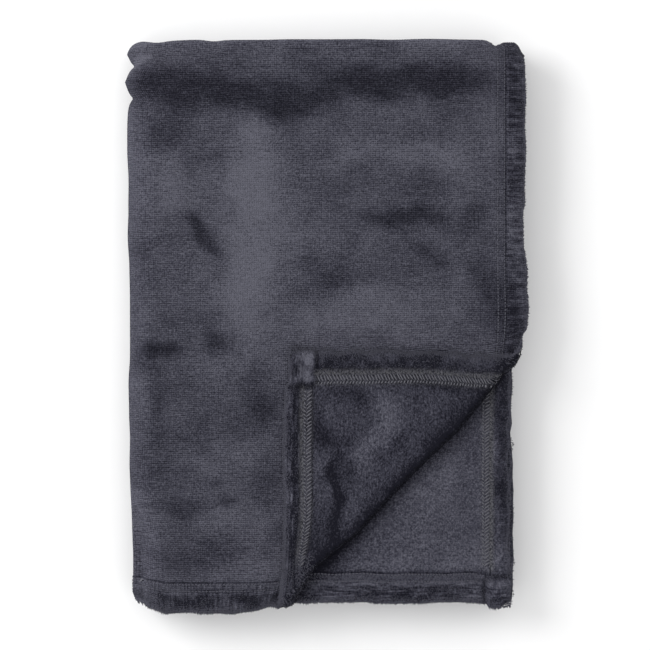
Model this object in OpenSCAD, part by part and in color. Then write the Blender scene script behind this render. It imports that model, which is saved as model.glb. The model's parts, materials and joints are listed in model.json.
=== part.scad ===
// Folded throw blanket in flannel fleece.
// One hemmed sheet, folded in half four times: twice across its length and
// then twice across its width, so that sixteen plies lie on each other. The
// last fold is the spine on the left. One corner of the top ply is turned back.
// Origin under the middle of the stack, +X to the open side, +Y to the top
// folds, +Z up. Millimetres.

/* [Blanket] */
// Finished width of the blanket laid flat
blanket_w = 1365; // [1000:5:1800]
// Finished length of the blanket laid flat
blanket_l = 2000; // [1400:10:2600]
// Thickness of one ply of fleece as it lies in the stack
ply_t = 3; // [2:0.1:5]

/* [Hems] */
// Width of the turned hem on every edge
hem_w = 26; // [16:1:40]
// Distance between the two needle rows of the coverstitch
needle_gauge = 6; // [4:0.5:8]
// Distance from the hem's raw edge to the nearer needle row
needle_inset = 1.5; // [1:0.5:4]
// Width of one needle thread's row
needle_row_w = 0.8; // [0.4:0.1:1.2]
// How far the looper thread reaches past each needle row
looper_reach = 1; // [0.5:0.1:1.5]
// Depth of the threads in the pile
thread_t = 0.6; // [0.3:0.1:0.9]

/* [Folding] */
// How far the top ply stands out past the second ply at the open side
side_overhang = 15; // [4:1:30]
// How far the top ply stands out past the second ply at the lower end
end_overhang = 10; // [4:1:20]
// Parting between neighbouring plies where they fold or are hemmed
parting = 0.1; // [0.05:0.05:0.3]
// Clearance between the front leaf and the back leaf
leaf_gap = 0.4; // [0.2:0.1:1]
// Clearance between the second ply and the top ply
top_gap = 0.3; // [0.2:0.1:1]

/* [Turned corner] */
// From the top ply's corner up its side edge to the crease
crease_side = 234; // [120:1:320]
// From the top ply's corner along its lower edge to the crease
crease_end = 214; // [120:1:290]
// How far the turned tip lies to the right of its mirrored place
tip_skew_x = 22; // [0:1:30]
// How far the turned tip lies above its mirrored place
tip_skew_y = 15; // [0:1:30]
// Clearance between the top ply and the corner turned back on it
corner_gap = 0.3; // [0.2:0.1:1]

/* [Hidden] */
$fn = 64;

// Plies 1 to 8 are the front leaf, from the top down, and 9 to 16 the back.
leaf_plies = 8;
pack_plies = 4;
plies = 2 * leaf_plies;
leaf_t = leaf_plies * ply_t;
pack_t = pack_plies * ply_t;

// Each fold takes up cloth: the spine and the rear fold across the width, and
// the top and lower folds along the length.
side_wrap = PI * (leaf_t + pack_t / 2);
end_wrap = PI * 2.5 * ply_t;
side_reach = (blanket_w - side_wrap) / 4 + 0.75 * side_overhang;
end_reach = (blanket_l - end_wrap) / 4 + 0.75 * end_overhang;

spine_z = leaf_t + leaf_gap / 2;
spine_r = leaf_t + leaf_gap / 2 + top_gap;
top_fold_r = (pack_t + top_gap) / 2;
overall_w = side_reach + spine_r;
overall_l = end_reach + top_fold_r;

spine_x = spine_r - overall_w / 2;
side_edge = overall_w / 2;
end_edge = -overall_l / 2;
top_fold_y = overall_l / 2 - top_fold_r;

// How much further in than the second ply each ply ends, at the side and at
// the lower end, as hands leave it. A fold's two plies end together.
side_steps = [0, 0, -2, -3, -1, -4, -2, 1];
end_steps = [0, 0, -3, -3, -1, -1, 1, -3, 0, 2, -2, -2, -3, -3, 1, 0];

// The rear fold turns the back leaf's outer plies into its inner ones.
rear_z = leaf_t / 2;
rear_r = pack_t;
rear_x = side_edge - side_overhang + 3 - rear_r;
rear_core = 0.1;

function side_of(ply) = ply == 1 ? side_edge
    : ply <= leaf_plies ? side_edge - side_overhang - side_steps[ply - 1]
    : rear_x;
function end_of(ply) = ply == 1 ? end_edge
    : end_edge + end_overhang + end_steps[ply - 1];
function floor_of(ply) = ply > leaf_plies ? (plies - ply) * ply_t
    : leaf_t + leaf_gap + (leaf_plies - ply) * ply_t + (ply == 1 ? top_gap : 0);
function top_of(ply) = floor_of(ply) + ply_t;
function in_front(ply) = ply <= leaf_plies;
function has_lower_fold(ply) = let (place = (ply - 1) % leaf_plies)
    place >= 2 && place <= 5;

// The crease of the turned corner, from the lower edge to the side edge.
corner = [side_edge, end_edge];
crease_from = corner - [crease_end, 0];
crease_to = corner + [0, crease_side];
crease_len = norm(crease_to - crease_from);
crease_dir = (crease_to - crease_from) / crease_len;
crease_angle = atan2(crease_dir[1], crease_dir[0]);
crease_in = [-crease_dir[1], crease_dir[0]];
crease_z = top_of(1) + corner_gap / 2;
crease_r = ply_t + corner_gap / 2;
corner_depth = (crease_from - corner) * crease_in;
mirrored_corner = corner + 2 * corner_depth * crease_in;
tip = mirrored_corner + [tip_skew_x, tip_skew_y];
corner_floor = crease_z + corner_gap / 2;

// The spine's two halves belong to leaves that open, so they stop short of the
// plane between them by this angle.
spine_parting_angle = 0.5;
spine_turn = 90 - spine_parting_angle;
lap_t = ply_t - parting;

looper_w = needle_gauge + 2 * looper_reach;
seam_from_edge = hem_w - needle_inset - needle_gauge / 2;

cloth = [0.21, 0.22, 0.27];
under_cloth = [0.24, 0.25, 0.29];
hem_cloth = [0.17, 0.18, 0.22];
thread = [0.42, 0.42, 0.43];

// A flat field of cloth between two corners, lying at the height of a ply.
module field(low, high, z) {
    translate([low[0], low[1], z])
        cube([high[0] - low[0], high[1] - low[1], ply_t]);
}

// Everything on the stack's side of the crease, a given distance in from it.
module behind_crease(inset) {
    reach = overall_l;
    start = crease_from + inset * crease_in;
    translate([start[0], start[1], -ply_t])
        rotate([0, 0, crease_angle])
            translate([-reach, 0, 0])
                cube([3 * reach, 2 * reach, 2 * overall_l]);
}

// The outline of the corner as it lies turned back.
module corner_outline() {
    translate([0, 0, corner_floor - ply_t])
        linear_extrude(3 * ply_t)
            polygon([tip, crease_from, crease_to]);
}

// The two needle rows and the looper band of one seam, which runs along +X
// with the hem's folded edge on y = 0.
module seam_threads(length, needles_up) {
    needle_z = needles_up ? lap_t - thread_t : 0;
    looper_z = needles_up ? 0 : lap_t - thread_t;
    for (row = [-1, 1])
        translate([0, seam_from_edge + row * needle_gauge / 2 - needle_row_w / 2, needle_z])
            cube([length, needle_row_w, thread_t]);
    translate([0, seam_from_edge - looper_w / 2, looper_z])
        cube([length, looper_w, thread_t]);
}

// A turned hem with a round folded edge, with the seam's threads let into it.
module hem_strip(length, needles_up) {
    difference() {
        union() {
            translate([0, lap_t / 2, 0])
                cube([length, hem_w - lap_t / 2, lap_t]);
            translate([0, lap_t / 2, lap_t / 2])
                rotate([0, 90, 0])
                    cylinder(d = lap_t, h = length);
        }
        seam_threads(length, needles_up);
    }
}

module hem_or_threads(length, needles_up, threads) {
    if (threads)
        seam_threads(length, needles_up);
    else
        hem_strip(length, needles_up);
}

// The side hem of a front ply: its folded edge faces +X.
module side_hem(ply, threads = false, needles_up = false) {
    start = end_of(ply) + (has_lower_fold(ply) ? ply_t : hem_w);
    translate([side_of(ply), start, floor_of(ply)])
        rotate([0, 0, 90])
            hem_or_threads(top_fold_y - start, needles_up, threads);
}

// The hem across the lower end of a ply: its folded edge faces -Y.
module end_hem(ply, threads = false, needles_up = false) {
    finish = side_of(ply);
    translate([spine_x, end_of(ply), floor_of(ply)])
        hem_or_threads(finish - spine_x, needles_up, threads);
}

// The flat part of a ply, between its hems and folds.
module ply_field(ply) {
    right = in_front(ply) ? side_of(ply) - hem_w : rear_x;
    lower = end_of(ply) + (has_lower_fold(ply) ? ply_t : hem_w);
    color(ply == 1 ? cloth : under_cloth)
        field([spine_x, lower], [right, top_fold_y], floor_of(ply));
}

module top_ply() {
    intersection() {
        ply_field(1);
        behind_crease(crease_r);
    }
}

// Part of a turn about an axis along Y, from one angle on. Angle 0 points to
// +X, 90 to -Z and 180 to -X.
module turn_about_y(centre, from, angle) {
    translate([centre[0], centre[1], centre[2]])
        rotate([-90, 0, 0])
            rotate([0, 0, from])
                rotate_extrude(angle = angle)
                    children();
}

// One ply's quarter turn round the spine.
module spine_ply(ply) {
    inner = in_front(ply) ? floor_of(ply) - spine_z : spine_z - top_of(ply);
    spine_turn_of(in_front(ply), end_of(ply))
        translate([inner, 0])
            square([lap_t, top_fold_y - end_of(ply)]);
}

// A leaf's share of the turn round the spine, for a section that starts at y.
module spine_turn_of(front, y) {
    turn_about_y([spine_x, y, spine_z], front ? 180 + spine_parting_angle : 90, spine_turn)
        children();
}

// A leaf's side of the spine: its eight plies and its two top folds, turned.
module spine_fold(first) {
    color(cloth) {
        for (ply = [first : first + leaf_plies - 1])
            spine_ply(ply);
        for (top = [first, first + pack_plies])
            spine_turn_of(in_front(first), top_fold_y)
                translate([abs(pack_middle(top) - spine_z), 0])
                    pack_section(top, in_front(first) ? 1 : -1);
    }
}

// The plies of the back leaf, turned round from below to above.
module rear_side_fold() {
    color(under_cloth)
        for (ply = [leaf_plies + 1 : leaf_plies + pack_plies])
            turn_about_y([rear_x, end_of(ply), rear_z], -90, 180)
                translate([floor_of(ply) - rear_z + parting, 0])
                    square([lap_t, top_fold_y - end_of(ply)]);
    color(under_cloth)
        rear_top_turns();
}

// Half a disc on +Y.
module half_disc(r) {
    intersection() {
        circle(r);
        translate([-r, 0])
            square([2 * r, r]);
    }
}

function pack_high(first) = top_of(first);
function pack_low(first) = floor_of(first + pack_plies - 1);
function pack_middle(first) = (pack_high(first) + pack_low(first)) / 2;
function pack_r(first) = (pack_high(first) - pack_low(first)) / 2;
function core_middle(first) = (top_of(first + 1) + floor_of(first + 2)) / 2;

// The section of a pack's top fold, whose outer two plies turn round the inner
// two. X is the distance from the pack's middle, along or against the height.
module pack_section(first, way, r = 0) {
    outer_r = r > 0 ? r : pack_r(first);
    shift = way * (core_middle(first) - pack_middle(first));
    difference() {
        half_disc(outer_r);
        translate([shift, 0])
            circle(ply_t);
    }
    translate([shift, 0])
        half_disc(ply_t - parting);
}

// The straight roll of a pack's top fold.
module top_fold(first) {
    color(cloth)
        translate([spine_x, top_fold_y, pack_middle(first)])
            rotate([90, 0, 90])
                linear_extrude(side_of(first) - spine_x)
                    rotate(90)
                        mirror([0, 1])
                            pack_section(first, 1);
}

// The back leaf's two top folds, turned round the rear fold.
module rear_top_turns() {
    for (first = [leaf_plies + 1, leaf_plies + pack_plies + 1]) {
        above = pack_middle(first) > rear_z;
        r = pack_r(first) - rear_core;
        turn_about_y([rear_x, top_fold_y, rear_z], above ? -90 : 0, 90)
            translate([r + rear_core, 0])
                pack_section(first, above ? 1 : -1, r);
    }
}

// A lower fold joins a ply to the next one down.
module lower_fold(ply) {
    finish = in_front(ply) ? min(side_of(ply), side_of(ply + 1)) : rear_x;
    color(under_cloth)
        translate([spine_x, end_of(ply) + ply_t, floor_of(ply)])
            rotate([90, 0, 90])
                linear_extrude(finish - spine_x)
                    rotate(90)
                        half_disc(ply_t);
}

// A quarter roll along the crease: under it on the top ply, over it on the
// turned corner.
module crease_quarter(over) {
    start = crease_from + crease_r * crease_in;
    translate([start[0], start[1], crease_z])
        rotate([0, 0, crease_angle])
            intersection() {
                rotate([0, 90, 0])
                    cylinder(r = crease_r, h = crease_len);
                translate([0, -crease_r, over ? corner_gap / 2 : -crease_r])
                    cube([crease_len, crease_r, crease_r - corner_gap / 2]);
            }
}

// A hem of the turned corner, from the tip to one end of the crease.
module corner_hem(toward, flipped, threads) {
    run = toward - tip;
    length = norm(run);
    intersection() {
        translate([tip[0], tip[1], corner_floor])
            rotate([0, 0, atan2(run[1], run[0])])
                mirror([0, flipped ? 1 : 0, 0])
                    hem_or_threads(length, false, threads);
        corner_outline();
        behind_crease(crease_r);
    }
}

module corner_end_hem(threads = false) {
    corner_hem(crease_from, false, threads);
}

// The side hem is tucked under the end hem at the tip.
module corner_side_hem(threads = false) {
    run = crease_from - tip;
    difference() {
        corner_hem(crease_to, true, threads);
        translate([tip[0], tip[1], corner_floor - ply_t])
            rotate([0, 0, atan2(run[1], run[0])])
                translate([-hem_w, -hem_w, 0])
                    cube([norm(run) + 2 * hem_w, 2 * hem_w, 3 * ply_t]);
    }
}

module corner_panel() {
    color(under_cloth)
        difference() {
            intersection() {
                translate([0, 0, corner_floor])
                    linear_extrude(ply_t)
                        polygon([tip, crease_from, crease_to]);
                behind_crease(crease_r);
            }
            for (end = [[crease_from, false], [crease_to, true]]) {
                run = end[0] - tip;
                translate([tip[0], tip[1], corner_floor - ply_t])
                    rotate([0, 0, atan2(run[1], run[0])])
                        mirror([0, end[1] ? 1 : 0, 0])
                            translate([-hem_w, -hem_w, 0])
                                cube([norm(run) + 2 * hem_w, 2 * hem_w, 3 * ply_t]);
            }
        }
}

module top_side_hem(threads = false) {
    intersection() {
        side_hem(1, threads, true);
        behind_crease(crease_r);
    }
}

module top_end_hem(threads = false) {
    intersection() {
        end_hem(1, threads, true);
        behind_crease(crease_r);
    }
}

top_ply();  // ply_01
ply_field(2);  // ply_02
ply_field(3);  // ply_03
ply_field(4);  // ply_04
ply_field(5);  // ply_05
ply_field(6);  // ply_06
ply_field(7);  // ply_07
ply_field(8);  // ply_08
ply_field(9);  // ply_09
ply_field(10);  // ply_10
ply_field(11);  // ply_11
ply_field(12);  // ply_12
ply_field(13);  // ply_13
ply_field(14);  // ply_14
ply_field(15);  // ply_15
ply_field(16);  // ply_16
spine_fold(1);  // spine_fold_front
spine_fold(leaf_plies + 1);  // spine_fold_back
rear_side_fold();
top_fold(1);  // top_fold_1
top_fold(5);  // top_fold_2
top_fold(9);  // top_fold_3
top_fold(13);  // top_fold_4
lower_fold(3);  // lower_fold_1
lower_fold(5);  // lower_fold_2
lower_fold(11);  // lower_fold_3
lower_fold(13);  // lower_fold_4
color(hem_cloth) top_side_hem();
color(hem_cloth) top_end_hem();
color(hem_cloth) side_hem(2);  // second_side_hem
color(hem_cloth) end_hem(2, false, true);  // second_end_hem
color(hem_cloth)  // inner_side_hems
    for (ply = [3 : leaf_plies]) side_hem(ply);
color(hem_cloth)  // inner_end_hems
    for (ply = [7, 8]) end_hem(ply);
color(hem_cloth)  // back_end_hems
    for (ply = [9, 10, 15, 16]) end_hem(ply);
color(cloth) crease_quarter(false);  // crease_fold_under
color(under_cloth) crease_quarter(true);  // crease_fold_over
corner_panel();
color(hem_cloth) corner_side_hem();
color(hem_cloth) corner_end_hem();
color(thread) top_side_hem(true);  // top_side_stitches
color(thread) top_end_hem(true);  // top_end_stitches
color(thread) side_hem(2, true);  // second_side_stitches
color(thread) end_hem(2, true, true);  // second_end_stitches
color(thread) corner_side_hem(true);  // corner_side_stitches
color(thread) corner_end_hem(true);  // corner_end_stitches
color(thread)  // inner_side_stitches
    for (ply = [3 : leaf_plies]) side_hem(ply, true);
color(thread)  // inner_end_stitches
    for (ply = [7, 8]) end_hem(ply, true);
color(thread)  // back_end_stitches
    for (ply = [9, 10, 15, 16]) end_hem(ply, true);
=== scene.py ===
"""Looks of the folded throw: one hemmed fleece sheet folded four times, with a corner turned back."""
import json
import math

import bmesh
import bpy
import numpy as np
from mathutils import Matrix, Vector


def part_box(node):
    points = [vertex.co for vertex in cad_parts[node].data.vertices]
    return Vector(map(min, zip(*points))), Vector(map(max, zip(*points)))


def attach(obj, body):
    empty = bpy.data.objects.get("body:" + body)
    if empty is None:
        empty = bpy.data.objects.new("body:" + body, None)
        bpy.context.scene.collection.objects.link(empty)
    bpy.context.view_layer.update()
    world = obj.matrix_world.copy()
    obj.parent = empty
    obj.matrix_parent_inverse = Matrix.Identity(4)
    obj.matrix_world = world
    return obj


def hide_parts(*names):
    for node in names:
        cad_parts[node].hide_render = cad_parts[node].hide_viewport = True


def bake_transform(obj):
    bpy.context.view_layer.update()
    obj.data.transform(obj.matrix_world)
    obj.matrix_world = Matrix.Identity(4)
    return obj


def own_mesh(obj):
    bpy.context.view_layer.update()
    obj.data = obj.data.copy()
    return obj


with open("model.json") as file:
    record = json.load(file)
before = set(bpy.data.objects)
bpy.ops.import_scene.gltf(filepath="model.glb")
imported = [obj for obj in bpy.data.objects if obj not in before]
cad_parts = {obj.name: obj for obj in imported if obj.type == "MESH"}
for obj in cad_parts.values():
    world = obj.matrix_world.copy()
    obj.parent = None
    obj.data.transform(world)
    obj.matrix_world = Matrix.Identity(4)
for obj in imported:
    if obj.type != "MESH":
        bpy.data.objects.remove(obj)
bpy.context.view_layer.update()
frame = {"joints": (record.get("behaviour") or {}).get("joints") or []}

SCENE = bpy.context.scene

# ---- sizes, in metres
MM = 0.001


def low(node):
    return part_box(node)[0]


def high(node):
    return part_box(node)[1]


PLY = high("ply_16").z - low("ply_16").z
PACK = 4 * PLY
SPINE_X = low("ply_16").x
REAR_X = high("ply_16").x
SIDE_X = high("top_side_hem").x
END_Y = low("top_end_hem").y
TOP_Y = high("ply_16").y
HEM = high("top_side_hem").x - low("top_side_hem").x
NEEDLE_GAUGE = 6 * MM
STITCH = 3.1 * MM
ROWS = (HEM - 1.5 * MM - NEEDLE_GAUGE, HEM - 1.5 * MM)

JOINTS = {j["name"]: j for j in frame["joints"]}
SPINE_Z = JOINTS["last_fold"]["pos_m"][2]
HINGE = np.array(JOINTS["corner_turn"]["pos_m"])
CREASE_ALONG = np.array(JOINTS["corner_turn"]["axis"][:2])
CREASE_IN = np.array([-CREASE_ALONG[1], CREASE_ALONG[0]])
TIP = np.array([low("corner_side_hem").x - HEM - 1 * MM, high("corner_end_hem").y])

PACK_Z = {
    1: low("ply_04").z + PACK / 2,
    2: low("ply_08").z + PACK / 2,
    3: low("ply_12").z + PACK / 2,
    4: low("ply_16").z + PACK / 2,
}
# Along the length the plies of a pack follow each other in this order.
RUNS = {1: (1, 4, 3, 2), 2: (8, 5, 6, 7), 3: (9, 12, 11, 10), 4: (16, 13, 14, 15)}


def ease(t):
    t = np.clip(t, 0, 1)
    return t * t * (3 - 2 * t)


def ramp(distance, width):
    """0 to 1 over a width in millimetres."""
    return ease(distance / (width * MM))


def bell(x, middle, spread):
    return np.exp(-(((x - middle) / spread) ** 2))


class Ripple:
    """Smooth noise from -1 to 1 over a plane, with hills of about the given size."""

    CELLS = 64

    def __init__(self, seed, size, size_b=None):
        self.lattice = np.random.RandomState(seed).uniform(-1, 1, (self.CELLS, self.CELLS))
        self.size = (size, size_b or size)

    def __call__(self, a, b):
        a, b = np.asarray(a) / self.size[0], np.asarray(b) / self.size[1]
        i, j = np.floor(a).astype(int), np.floor(b).astype(int)
        f, g = ease(a - i), ease(b - j)

        def at(di, dj):
            return self.lattice[(i + di) % self.CELLS, (j + dj) % self.CELLS]

        return (at(0, 0) * (1 - f) + at(1, 0) * f) * (1 - g) + (at(0, 1) * (1 - f) + at(1, 1) * f) * g


# ---- how the sheet folds
class Route:
    """A line of straight runs and half turns in a plane, measured along its own length."""

    def __init__(self, start):
        self.at_end, self.parts, self.length = np.array(start, float), [], 0.0

    def straight(self, to):
        to = np.array(to, float)
        step = np.linalg.norm(to - self.at_end)
        self.parts.append(("straight", self.length, step, self.at_end, (to - self.at_end) / step))
        self.at_end, self.length = to, self.length + step
        return self

    def turn(self, to, clockwise):
        """Half a turn from the present end to the point across from it."""
        to = np.array(to, float)
        centre, arm = (self.at_end + to) / 2, (self.at_end - to) / 2
        radius = np.linalg.norm(arm)
        way = -1 if clockwise else 1
        first = math.atan2(arm[1], arm[0])
        self.parts.append(("turn", self.length, math.pi * radius, centre, (first, radius, way)))
        self.at_end, self.length = to, self.length + math.pi * radius
        return self

    def place(self, along):
        """Positions and directions at these lengths, as two arrays of two columns."""
        where, heading = np.zeros((len(along), 2)), np.zeros((len(along), 2))
        for k, (kind, begin, step, point, more) in enumerate(self.parts):
            last = k == len(self.parts) - 1
            on = (along >= begin - (1.0 if k == 0 else 0)) & ((along < begin + step) | last)
            if k and not last:
                on &= along >= begin
            d = (along[on] - begin)[:, None]
            if kind == "straight":
                where[on], heading[on] = point + d * more, more
            else:
                first, radius, way = more
                a = first + way * d[:, 0] / radius
                where[on] = point + radius * np.stack([np.cos(a), np.sin(a)], 1)
                heading[on] = way * np.stack([-np.sin(a), np.cos(a)], 1)
        return where, heading

    def stops(self):
        """Where each part begins, and the end."""
        return [p[1] for p in self.parts] + [self.length]


HIGH, MID = 1.5 * PLY, 0.5 * PLY
Y_A, Y_DC, Y_B = END_Y, low("lower_fold_1").y + PLY, low("second_end_hem").y
# Along the length, in the pack's own section: distance up the stack, and height over its middle.
LENGTHWISE = Route((Y_A, HIGH)).straight((TOP_Y, HIGH)).turn((TOP_Y, -HIGH), True)
LENGTHWISE.straight((Y_DC, -HIGH)).turn((Y_DC, -MID), True).straight((TOP_Y, -MID))
LENGTHWISE.turn((TOP_Y, MID), False).straight((Y_B, MID))
# Across the width, seen from the lower end.
CROSSWISE = Route((SIDE_X, PACK_Z[1])).straight((SPINE_X, PACK_Z[1])).turn((SPINE_X, PACK_Z[4]), False)
CROSSWISE.straight((REAR_X, PACK_Z[4])).turn((REAR_X, PACK_Z[3]), False).straight((SPINE_X, PACK_Z[3]))
CROSSWISE.turn((SPINE_X, PACK_Z[2]), True).straight((SIDE_X, PACK_Z[2]))
V = LENGTHWISE.stops()
U = CROSSWISE.stops()
WIDTH, LENGTH = U[-1], V[-1]
U_REAR = U[3]
V_TOP = V[2]


def edge_distances(u, v):
    """How far points of the sheet are from the nearer side edge and the nearer end edge."""
    return np.minimum(u, WIDTH - u), np.minimum(v, LENGTH - v)


def nearest_edge(u, v):
    return np.minimum(*edge_distances(u, v))


def edge_millimetres(u, v):
    du, dv = edge_distances(u, v)
    return du / MM, dv / MM


def has_lower_fold(ply):
    return ply in (3, 4, 5, 6, 11, 12, 13, 14)


def side_of(ply):
    return high("ply_%02d" % ply).x + HEM if ply <= 8 else REAR_X


def end_of(ply):
    return low("ply_%02d" % ply).y - (PLY if has_lower_fold(ply) else HEM)


PACK_ORDER = (1, 4, 3, 2)
U_KNOTS = U[:8]


def by_pack(values):
    """A value for each pack, as a function of u that changes over the turns between them."""
    return lambda u: np.interp(u, U_KNOTS, [values[p] for p in PACK_ORDER for _ in (0, 1)])


END_SHIFT = {
    "first": by_pack({p: end_of(RUNS[p][0]) - Y_A for p in RUNS}),
    "fold": by_pack({p: end_of(RUNS[p][1]) - (Y_DC - PLY) for p in RUNS}),
    "last": by_pack({p: end_of(RUNS[p][3]) - Y_B for p in RUNS}),
}
SIDE_SHIFT = {
    pack: [side_of(RUNS[pack][k]) - SIDE_X for k in (0, 0, 1, 1, 2, 2, 3, 3)] for pack in (1, 2)
}
SIDE_SHIFT[1][0] = SIDE_SHIFT[1][1] = 0.0
REACH = 110 * MM


def edge_shifts(u, v):
    """How far the plies' edges lie from the plain fold, in x and y."""
    first = END_SHIFT["first"](u) * ease(1 - v / REACH)
    fold = END_SHIFT["fold"](u) * ease(1 - np.abs(v - (V[3] + V[4]) / 2) / REACH)
    last = END_SHIFT["last"](u) * ease(1 - (LENGTH - v) / REACH)
    near = np.interp(v, V, SIDE_SHIFT[1]) * ease(1 - u / REACH)
    far = np.interp(v, V, SIDE_SHIFT[2]) * ease(1 - (WIDTH - u) / REACH)
    return near + far, first + fold + last


EDGE_WAVE = Ripple(3, 13 * MM, 40 * MM)
EDGE_DRIFT = Ripple(4, 60 * MM, 40 * MM)


def edge_waves(u, v):
    """The scalloped edges that the seams' tension leaves, in x and y."""
    du, dv = edge_distances(u, v)
    side = (1.9 * EDGE_WAVE(v, u) + 1.0 * EDGE_DRIFT(v, u)) * MM * np.exp(-du / (11 * MM))
    end = (0.9 * EDGE_WAVE(u, v + 1) + 0.8 * EDGE_DRIFT(u, v + 1)) * MM * np.exp(-dv / (16 * MM))
    near_side, first_half = u < WIDTH / 2, v < LENGTH / 2
    by_side, by_end = np.exp(-du / (12 * MM)), np.exp(-dv / (12 * MM))
    # The blocks where the hems cross are too thick to fold as tight, and stand out a little.
    tall, wide = np.where(first_half, 30, 22) * MM, np.where(first_half, 27, 22) * MM
    side = side + 3.6 * MM * ramp(tall - dv, 4) * by_side * np.where(near_side, 1, -1)
    end = end - 3.2 * MM * ramp(wide - du, 4) * by_end
    # Above the crease the side hem bulges out round.
    above = near_side * bell(v, 256 * MM, 40 * MM)
    bulge = 3.2 * bell(v, 262 * MM, 34 * MM) + 1.5 * bell(v, 242 * MM, 14 * MM)
    side = side * (1 - 0.85 * above) + bulge * MM * by_side * near_side
    # The last end's hem lies open under the turned corner, thick and low.
    opened = ramp(v - LENGTH + 60 * MM, 50) * (u < U[1] + 1 * MM)
    end = end - (2.4 + 1.2 * EDGE_WAVE(u + 1, v)) * MM * opened
    # The crease pulls the hems' waves straight.
    along, inward = crease_frame(u, v)
    still = ease(np.maximum(inward, -inward - ROLL) / (8 * MM))
    return side * still, end * still


def folded(u, v, w):
    """Where a point of the flat sheet lies in the stack; w is the height over the sheet's middle."""
    at, heading = LENGTHWISE.place(v)
    y, h = at[:, 0] - w * heading[:, 1], at[:, 1] + w * heading[:, 0]
    at, heading = CROSSWISE.place(u)
    x, z = at[:, 0] + h * heading[:, 1], at[:, 1] - h * heading[:, 0]
    dx, dy = edge_shifts(u, v)
    wx, wy = edge_waves(u, v)
    return np.stack([x + dx + wx, y + dy + wy, z], 1)


# ---- the turned corner
ROLL = 9 * MM  # cloth taken up by the crease's half turn
TOP_LIFT = high("ply_01").z - (PACK_Z[1] + PACK / 2)
TOP_MID = high("ply_01").z - PLY / 2
CORNER_MID = low("corner_panel").z + PLY / 2
# Along the crease, in millimetres: how far the roll stands in from the hinge line, and its radius.
CREASE_STOPS = [-20, 0, 6, 28, 45, 65, 95, 131, 168, 223, 255, 283, 292, 300, 309, 318, 330, 342]
CREASE_INSET = [9, 8, 6.5, 5.5, 9, 6, 1, 1.5, 0.7, -3, -1, 1.5, 2.6, 3.2, 4.0, 4.3, 4.0, 3]
ROLL_STOPS = [0, 40, 75, 150, 240, 290, 325]
ROLL_RADIUS = [4.6, 4.0, 3.2, 3.3, 3.4, 4.0, 4.8]
LIFT = 1.2 * MM


def fold_lift(distance):
    """How far the roll holds the cloth beside it off what lies below."""
    return LIFT * ease(1 - np.maximum(distance, 0) / (42 * MM))


def crease_frame(u, v):
    """Distance along the crease and into the stack from the hinge line, before the corner is turned."""
    flat = np.stack([SIDE_X - u, END_Y + v], 1) - HINGE[:2]
    return flat @ CREASE_ALONG, flat @ CREASE_IN


CORNER_T, CORNER_S = (a[0] for a in crease_frame(np.zeros(1), np.zeros(1)))


def slip(t):
    """How far the corner has crept along the crease, where the side hem's bulk holds the roll open."""
    return 11 * MM * ramp(t - 215 * MM, 100)


def crease_inset(t):
    return np.interp(t / MM, CREASE_STOPS, CREASE_INSET) * MM


def roll_radius(t):
    return np.interp(t / MM, ROLL_STOPS, ROLL_RADIUS) * MM


def top_ply(u, v, w):
    """The top ply, down to the outermost line of the crease's roll."""
    p = folded(u, v, w)
    t, s = crease_frame(u, v)
    on_front = u < U[1]
    p[:, 2] += TOP_LIFT * ease((U[2] - u) / (U[2] - U[1])) * ease((V[2] - v) / (V[2] - V[1]))
    inset = crease_inset(t) * bell(np.maximum(s, 0), 0, 17 * MM) * on_front
    p[:, 1] -= 1.2 * MM * bell(p[:, 0], -98 * MM, 62 * MM) * ease(1 - v / (60 * MM)) * on_front
    p[:, :2] += inset[:, None] * CREASE_IN
    p[:, 2] += fold_lift(s) * on_front
    roll = on_front & (s < 0)
    if roll.any():
        p[roll] = crease_roll(t[roll], s[roll], w[roll])
    return p


def crease_roll(t, s, w):
    """The half turn of the crease, from the top ply's side to the corner's."""
    radius = roll_radius(t)
    a = math.pi * (-s) / ROLL
    reach = -1.15 * (radius - w * 0.87) * np.sin(a) + crease_inset(t)
    t = t - slip(t) * ease(-s / ROLL)
    flat = HINGE[:2] + t[:, None] * CREASE_ALONG + reach[:, None] * CREASE_IN
    height = TOP_MID + LIFT + radius - (radius - w) * np.cos(a)
    return np.column_stack([flat, height])


FLAP_WAVE = Ripple(11, 55 * MM, 70 * MM)


def turned_corner(u, v, w):
    """The corner beyond the crease, laid back on the top ply; the sheet's wrong side is up."""
    t, s = crease_frame(u, v)
    back = -s - ROLL
    corner_back = -CORNER_S - ROLL
    share = np.clip(back / corner_back, 0, None)
    mirrored_tip = HINGE[:2] + CORNER_T * CREASE_ALONG + corner_back * CREASE_IN
    wx, wy = edge_waves(u, v)
    inset = crease_inset(t) * bell(np.maximum(back, 0), 0, 26 * MM)
    slid = t - slip(t) * bell(np.maximum(back, 0), 0, 130 * MM)
    flat = HINGE[:2] + slid[:, None] * CREASE_ALONG + (back + inset)[:, None] * CREASE_IN
    flat += share[:, None] * (TIP - mirrored_tip)
    flat += wx[:, None] * np.array([0, 1]) + wy[:, None] * np.array([-1, 0])
    rise = 2 * roll_radius(t) - (CORNER_MID - TOP_MID)
    height = CORNER_MID + rise * bell(np.maximum(back, 0), 0, 17 * MM) - w + fold_lift(back)
    height += 0.8 * MM * (FLAP_WAVE(flat[:, 0], flat[:, 1]) + 0.5) * ramp(back, 30)
    p = np.column_stack([flat, height])
    roll = back < 0
    if roll.any():
        p[roll] = crease_roll(t[roll], s[roll], w[roll])
    return p


# ---- thickness and hems
CLOTH_GAP = 0.05 * MM
HALF = PLY / 2 - CLOTH_GAP
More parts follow.
